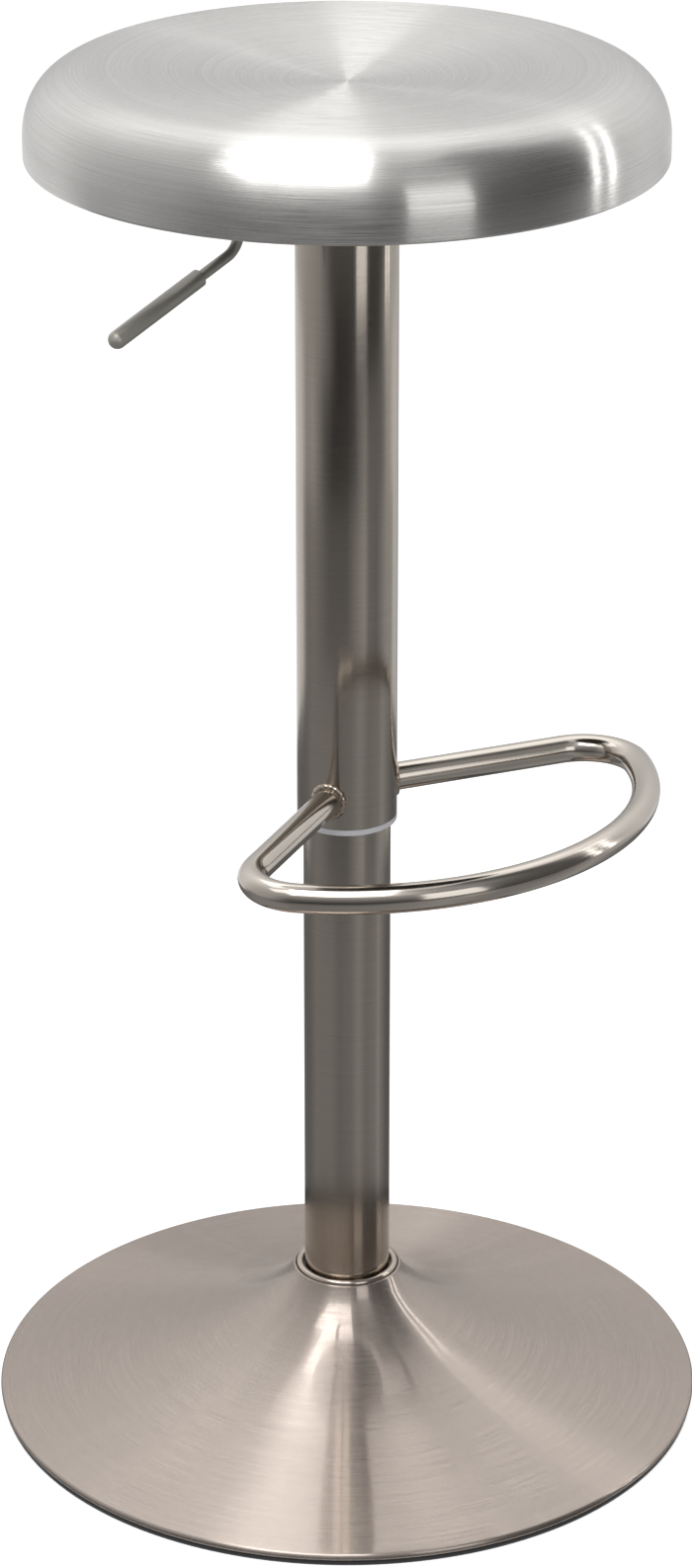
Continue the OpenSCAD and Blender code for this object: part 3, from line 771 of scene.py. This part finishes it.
def drawn_plate(outline, thickness, edge):
    """A plate in the lever's plane with that outline, rounded along its edges, in edit mode."""
    start_point(outline[0][0], outline[0][1])
    for (x0, z0), (x1, z1) in zip(outline, outline[1:]):
        bpy.ops.mesh.extrude_region_move(TRANSFORM_OT_translate={"value": (x1 - x0, 0, z1 - z0)})
    bpy.ops.mesh.select_all(action="SELECT")
    bpy.ops.mesh.edge_face_add()
    bpy.ops.mesh.select_mode(type="FACE")
    bpy.ops.transform.translate(value=(0, -thickness / 2, 0))
    bpy.ops.mesh.extrude_region_move(TRANSFORM_OT_translate={"value": (0, thickness, 0)})
    bpy.ops.mesh.select_mode(type="VERT")
    outward_normals()
    bpy.ops.object.mode_set(mode="OBJECT")
    bevel = bpy.context.object.modifiers.new("edge", "BEVEL")
    bevel.width = edge
    bevel.segments = 3
    bevel.limit_method = "ANGLE"
    bpy.ops.object.modifier_apply(modifier="edge")
    return bpy.context.object


tang = drawn_plate(tang_outline(), TANG_THICKNESS, TANG_EDGE)
bpy.ops.mesh.primitive_cylinder_add(
    vertices=48,
    radius=EYE_HOLE,
    depth=DRILL_LENGTH,
    location=(PIVOT_X, 0, 0),
    rotation=(math.pi / 2, 0, 0),
)
drill = bpy.context.object
cut = tang.modifiers.new("eye", "BOOLEAN")
cut.object = drill
cut.operation = "DIFFERENCE"
bpy.context.view_layer.objects.active = tang
bpy.ops.object.modifier_apply(modifier="eye")
bpy.data.objects.remove(drill)
tang.location.z = lever_height
bpy.ops.object.select_all(action="DESELECT")
tang.select_set(True)
bpy.context.view_layer.objects.active = tang
tang = finish_piece("lever_tang", "lever", ["lever_rod"])
paint(tang, lever_steel)

# %% Turn the grip along the handle
GRIP_EDGE = 0.0005
GRIP_PLAY = 0.00005
dome = arc_points((0, 0), GRIP_RADIUS, 0, 90, 14)
grip_section = [(LEVER_RADIUS + GRIP_PLAY, 0), (GRIP_RADIUS - GRIP_EDGE, 0)]
grip_section += arc_points((GRIP_RADIUS - GRIP_EDGE, GRIP_EDGE), GRIP_EDGE, -60, 0, 4)
grip_section += [(r, z + GRIP_LENGTH - GRIP_RADIUS) for r, z in dome[:-1]] + [(0, GRIP_LENGTH)]
turn(grip_section, steps=48, closed=False)
bpy.ops.object.mode_set(mode="OBJECT")
along_handle = Vector((0, 0, 1)).rotation_difference(heading(HANDLE_ANGLE)).to_matrix().to_4x4()
bpy.context.object.matrix_world = Matrix.Translation(grip_start) @ along_handle
grip = finish_piece("lever_sleeve", "lever", ["lever_grip"])
paint(grip, lever_steel)

# %% [markdown]
# ## The studio's floor
# A plain pale floor under a pale world. Both show as near white to the camera, and the world lights the
# stool at a lower level than it shows. The floor keeps the stool's shadow. In reflections, the rings and
# the dome further down hide nearly all of both.

# %% Lay the floor and light the world
FLOOR_COLOUR = (0.9, 0.9, 0.9)
FLOOR_SIZE = 40
FLOOR_GLOW = 0.66
WORLD_LIGHT = 0.35
WORLD_SEEN = 1.0
bpy.ops.object.select_all(action="DESELECT")
bpy.ops.mesh.primitive_plane_add(size=FLOOR_SIZE)
floor = bpy.context.object
floor.name = "floor"


def pale_surface(name, colour, glow):
    """A matt surface that shows as near white to the camera, and keeps the shadows that fall on it."""
    material, nodes, links, shader = new_material(name)
    shader.inputs["Base Color"].default_value = (*colour, 1)
    shader.inputs["Roughness"].default_value = 0.9
    shader.inputs["Emission Color"].default_value = (1, 1, 1, 1)
    path = node(nodes, "LightPath")
    seen = node(nodes, "Math", operation="MAXIMUM")
    links.new(path.outputs["Is Camera Ray"], seen.inputs[0])
    links.new(path.outputs["Is Glossy Ray"], seen.inputs[1])
    seen_too = node(nodes, "Math", operation="MAXIMUM")
    links.new(seen.outputs[0], seen_too.inputs[0])
    links.new(path.outputs["Is Transmission Ray"], seen_too.inputs[1])
    strength = node(nodes, "Math", {1: glow}, operation="MULTIPLY")
    links.new(seen_too.outputs[0], strength.inputs[0])
    links.new(strength.outputs[0], shader.inputs["Emission Strength"])
    return material


paint(floor, pale_surface("pale_floor", FLOOR_COLOUR, FLOOR_GLOW))

world = bpy.data.worlds.new("studio")
bpy.context.scene.world = world
world.use_nodes = True
world_nodes, world_links = world.node_tree.nodes, world.node_tree.links
background = world_nodes["Background"]
background.inputs["Color"].default_value = (1, 1, 1, 1)
path = world_nodes.new("ShaderNodeLightPath")
seen = world_nodes.new("ShaderNodeMath")
seen.operation = "MAXIMUM"
world_links.new(path.outputs["Is Camera Ray"], seen.inputs[0])
world_links.new(path.outputs["Is Glossy Ray"], seen.inputs[1])
level = world_nodes.new("ShaderNodeMapRange")
level.inputs["To Min"].default_value = WORLD_LIGHT
level.inputs["To Max"].default_value = WORLD_SEEN
world_links.new(seen.outputs[0], level.inputs["Value"])
world_links.new(level.outputs[0], background.inputs["Strength"])
print("floor:", floor.name, "world:", world.name)


# %% [markdown]
# ## The lamps
# A long soft lamp hangs overhead, with a wing on its left and a smaller lamp in front on the right. Two
# small lamps a little below the seat's edge, one beside it and one partly under it, shine straight down on
# the foot. Two bent strips on the right make the double streak. The lamps' places and sizes come from
# reflections measured in the photograph. The strips' bends were computed from where its streaks run.

# %% Hang the lamps
def standing_place(azimuth, distance, height):
    """A place round the stool: azimuth in degrees from the camera's side, to the right in the picture."""
    turn_angle = CAMERA_AZIMUTH + math.radians(azimuth)
    return Vector((distance * math.cos(turn_angle), distance * math.sin(turn_angle), height))


def soft_lamp(name, first, last, width, radiance, aim_height=0.45):
    """A soft lamp stretched between two places, radiance times white, aimed at a height on the Z axis."""
    start, end = standing_place(*first), standing_place(*last)
    along = (end - start).normalized()
    back = (start + end) / 2 - Vector((0, 0, aim_height))
    back = (back - back.dot(along) * along).normalized()
    bpy.ops.object.light_add(type="AREA")
    lamp = bpy.context.object
    lamp.name = name
    lamp.data.shape = "RECTANGLE"
    lamp.data.size, lamp.data.size_y = width, (end - start).length
    lamp.data.energy = radiance * math.pi * width * (end - start).length
    lamp.visible_camera = False
    facing = Matrix((along.cross(back), along, back)).transposed().to_4x4()
    lamp.matrix_world = Matrix.Translation((start + end) / 2) @ facing


soft_lamp("long_overhead_lamp", (-8.0, 1.93, 2.18), (-140.7, 0.57, 3.04), 1.06, 3.0)
soft_lamp("left_wing_lamp", (-30.3, 2.08, 2.22), (-66, 1.17, 2.7), 0.45, 2.7)
soft_lamp("small_front_lamp", (31.5, 2.48, 0.26), (31.5, 2.48, 2.1), 1.0, 1.35)
soft_lamp("under_seat_lamp", (-62, 0.19, 0.73), (-147, 0.26, 0.73), 0.19, 0.95, aim_height=-20)
soft_lamp("low_front_lamp", (-62, 0.43, 0.72), (8, 0.3, 0.72), 0.16, 1.2, aim_height=-20)

STRIP_WIDTH = 0.15
STRIP_BENDS = {
    "first_strip": (
        (93.3, 2.4, 0.2), (93.3, 2.4, 1.2), (105.4, 2.49, 2.18), (121, 2.8, 3.03), (130.5, 2.37, 2.9)
    ),
    "second_strip": (
        (101.8, 2.45, 0.2), (101.8, 2.45, 1.15), (111.6, 2.58, 2.0), (126, 2.97, 2.8), (134, 2.5, 2.7)
    ),
}
STRIP_RADIANCE = (3.0, 2.6, 2.0, 1.8)
for strip_name, places in STRIP_BENDS.items():
    for i, radiance in enumerate(STRIP_RADIANCE):
        soft_lamp(f"{strip_name}_{i + 1}", places[i], places[i + 1], STRIP_WIDTH, radiance)
print("lamps:", len(bpy.data.lights))


# %% [markdown]
# ## What only the reflections see
# Bare metal shows whatever stands round it, so most of its look is the room's doing. Rings on the floor
# and a dome, which only reflections can see, give it dark and pale bands. Each table is a list of (azimuth,
# grey), with the azimuth in degrees from the camera's side, to the right in the picture. The tables
# weren't set by eye. They began as estimates worked out from the greys that the column, the tube, the
# seat and the foot reflect in the photograph. They were then changed, thinned and rounded.

# %% Helpers: cards that only reflections see
def glow_only(name):
    """A material that only glows, white until a pattern is linked to it."""
    material = bpy.data.materials.new(name)
    material.use_nodes = True
    nodes = material.node_tree.nodes
    nodes.remove(nodes["Principled BSDF"])
    glow = node(nodes, "Emission", {"Color": (1, 1, 1, 1), "Strength": 1.0})
    material.node_tree.links.new(glow.outputs[0], nodes["Material Output"].inputs["Surface"])
    return material


def card_only_for_reflections(card, name):
    """Keeps a card out of everything but mirror-like reflections."""
    card.name = name
    paint(card, glow_only(name))
    card.visible_camera = False
    card.visible_diffuse = False
    card.visible_shadow = False
    card.visible_transmission = False


def grey_by_azimuth(nodes, links, levels):
    """A grey that follows the azimuth round the Z axis. Levels are (azimuth, grey) from -180 to 180."""
    place = node(nodes, "TexCoord")
    around = node(nodes, "TexGradient", gradient_type="RADIAL")
    links.new(place.outputs["Object"], around.inputs[0])
    stops = [(azimuth / 360 + 0.5, (grey, grey, grey)) for azimuth, grey in levels]
    return ramp(nodes, links, around.outputs["Fac"], stops).outputs[0]


def floor_ring(name, inner, outer, levels, lift=0.0005):
    """A flat ring on the floor whose grey follows the azimuth."""
    bpy.ops.object.select_all(action="DESELECT")
    bpy.ops.mesh.primitive_circle_add(vertices=96, radius=inner, location=(0, 0, lift))
    bpy.ops.object.mode_set(mode="EDIT")
    bpy.ops.mesh.select_all(action="SELECT")
    bpy.ops.mesh.extrude_region_move()
    bpy.ops.transform.resize(value=(outer / inner, outer / inner, 1))
    bpy.ops.object.mode_set(mode="OBJECT")
    card = bpy.context.object
    card.rotation_euler.z = CAMERA_AZIMUTH
    card_only_for_reflections(card, name)
    nodes, links = card.active_material.node_tree.nodes, card.active_material.node_tree.links
    links.new(grey_by_azimuth(nodes, links, levels), nodes["Emission"].inputs["Color"])


# %% Helper: the dome
# The Mix node's places for its two colours and for the mixed one
COLOUR_A, COLOUR_B, COLOUR_OUT = 6, 7, 2


def surround_dome(name, radius, top, low_levels, high_levels, rise):
    """A dome round the stool: greys by azimuth at its foot and higher up, where rise is (height, share)."""
    bpy.ops.object.select_all(action="DESELECT")
    bpy.ops.mesh.primitive_uv_sphere_add(segments=96, ring_count=48, radius=radius)
    bpy.ops.object.mode_set(mode="EDIT")
    for height, upper in ((0.001, False), (top, True)):
        bpy.ops.mesh.select_all(action="SELECT")
        cut = {"plane_co": (0, 0, height), "plane_no": (0, 0, 1)}
        bpy.ops.mesh.bisect(**cut, clear_outer=upper, clear_inner=not upper)
    bpy.ops.object.mode_set(mode="OBJECT")
    dome = bpy.context.object
    dome.rotation_euler.z = CAMERA_AZIMUTH
    card_only_for_reflections(dome, name)
    nodes, links = dome.active_material.node_tree.nodes, dome.active_material.node_tree.links
    place = node(nodes, "TexCoord")
    split = node(nodes, "SeparateXYZ")
    links.new(place.outputs["Object"], split.inputs[0])
    share = node(nodes, "Math", {1: radius}, operation="DIVIDE")
    links.new(split.outputs["Z"], share.inputs[0])
    stops = [(height / radius, (part, part, part)) for height, part in rise]
    height_share = ramp(nodes, links, share.outputs[0], stops)
    mixed = node(nodes, "Mix", data_type="RGBA")
    links.new(height_share.outputs[0], mixed.inputs["Factor"])
    links.new(grey_by_azimuth(nodes, links, low_levels), mixed.inputs[COLOUR_A])
    links.new(grey_by_azimuth(nodes, links, high_levels), mixed.inputs[COLOUR_B])
    links.new(mixed.outputs[COLOUR_OUT], nodes["Emission"].inputs["Color"])


# %% Lay the rings on the floor
RING_RADII = (0.209, 0.24, 0.95, 1.7, 2.75, 4.2)
# The contact ring is a dark band round the foot's rim: a painted contact shadow, which only reflections see.
CONTACT_SHADE = ((-180, 0.07), (180, 0.07))
NEAR_FLOOR = (
    (-180, 0.22), (-172, 0.36), (-162, 0.36), (-152, 0.18), (-130, 0.2), (-110, 0.24), (-90, 0.34),
    (-40, 0.34), (-20, 0.27), (10, 0.31), (30, 0.43), (50, 0.31), (80, 0.37), (90, 0.49), (100, 0.37),
    (120, 0.22), (140, 0.15), (160, 0.2), (180, 0.22)
)
MIDDLE_FLOOR = (
    (-180, 0.25), (-175, 0.3), (-168, 0.95), (-120, 0.95), (-110, 0.47), (-100, 0.31), (-80, 0.34),
    (-40, 0.2), (0, 0.2), (40, 0.54), (50, 0.3), (70, 0.25), (100, 0.54), (120, 0.53), (130, 0.9),
    (150, 0.65), (172, 0.3), (180, 0.25)
)
FAR_FLOOR = (
    (-180, 1.0), (-120, 1.0), (-100, 0.51), (-80, 0.58), (-50, 0.14), (-30, 0.05), (0, 0.07), (20, 0.13),
    (40, 0.42), (50, 0.26), (80, 0.26), (90, 0.37), (100, 0.6), (110, 0.64), (120, 0.95), (140, 0.85),
    (150, 0.6), (170, 0.6), (180, 0.8)
)
OUTER_FLOOR = (
    (-180, 0.95), (-140, 0.72), (-80, 0.5), (-60, 0.43), (-40, 0.27), (-20, 0.04), (0, 0.04), (20, 0.1),
    (50, 0.02), (70, 0.07), (80, 0.2), (100, 0.72), (140, 0.7), (180, 0.95)
)
FLOOR_RINGS = {
    "painted_contact_shadow_ring": CONTACT_SHADE,
    "near_floor": NEAR_FLOOR,
    "middle_floor": MIDDLE_FLOOR,
    "far_floor": FAR_FLOOR,
    "outer_floor": OUTER_FLOOR,
}
for i, (ring_name, levels) in enumerate(FLOOR_RINGS.items()):
    floor_ring(ring_name, RING_RADII[i], RING_RADII[i + 1], levels)
print("rings on the floor:", list(FLOOR_RINGS))

# %% Stand the dome round the stool
DOME_RADIUS = 4.2
DOME_TOP = 4.05
LOW_WALL = (
    (-180, 0.45), (-165, 0.57), (-145, 0.87), (-125, 1.0), (-95, 0.63), (-60, 0.45), (-35, 0.1), (15, 0.1),
    (20, 0.2), (45, 0.2), (50, 0.1), (90, 0.12), (97, 0.28), (104, 0.85), (125, 0.88), (145, 0.77),
    (165, 0.57), (180, 0.45)
)
HIGH_WALL = (
    (-180, 1.85), (-150, 1.75), (-110, 1.0), (-80, 0.8), (-60, 0.8), (-35, 1.0), (10, 1.0), (30, 0.5),
    (45, 0.5), (60, 0.3), (80, 0.15), (93, 0.15), (110, 0.3), (121, 1.1), (145, 1.6), (160, 1.85),
    (180, 1.85)
)
WALL_RISE = ((0.0, 0.0), (0.95, 0.09), (1.57, 0.2), (2.64, 0.44), (3.3, 1.0))
surround_dome("surround", DOME_RADIUS, DOME_TOP, LOW_WALL, HIGH_WALL, WALL_RISE)
print("dome of radius", DOME_RADIUS)
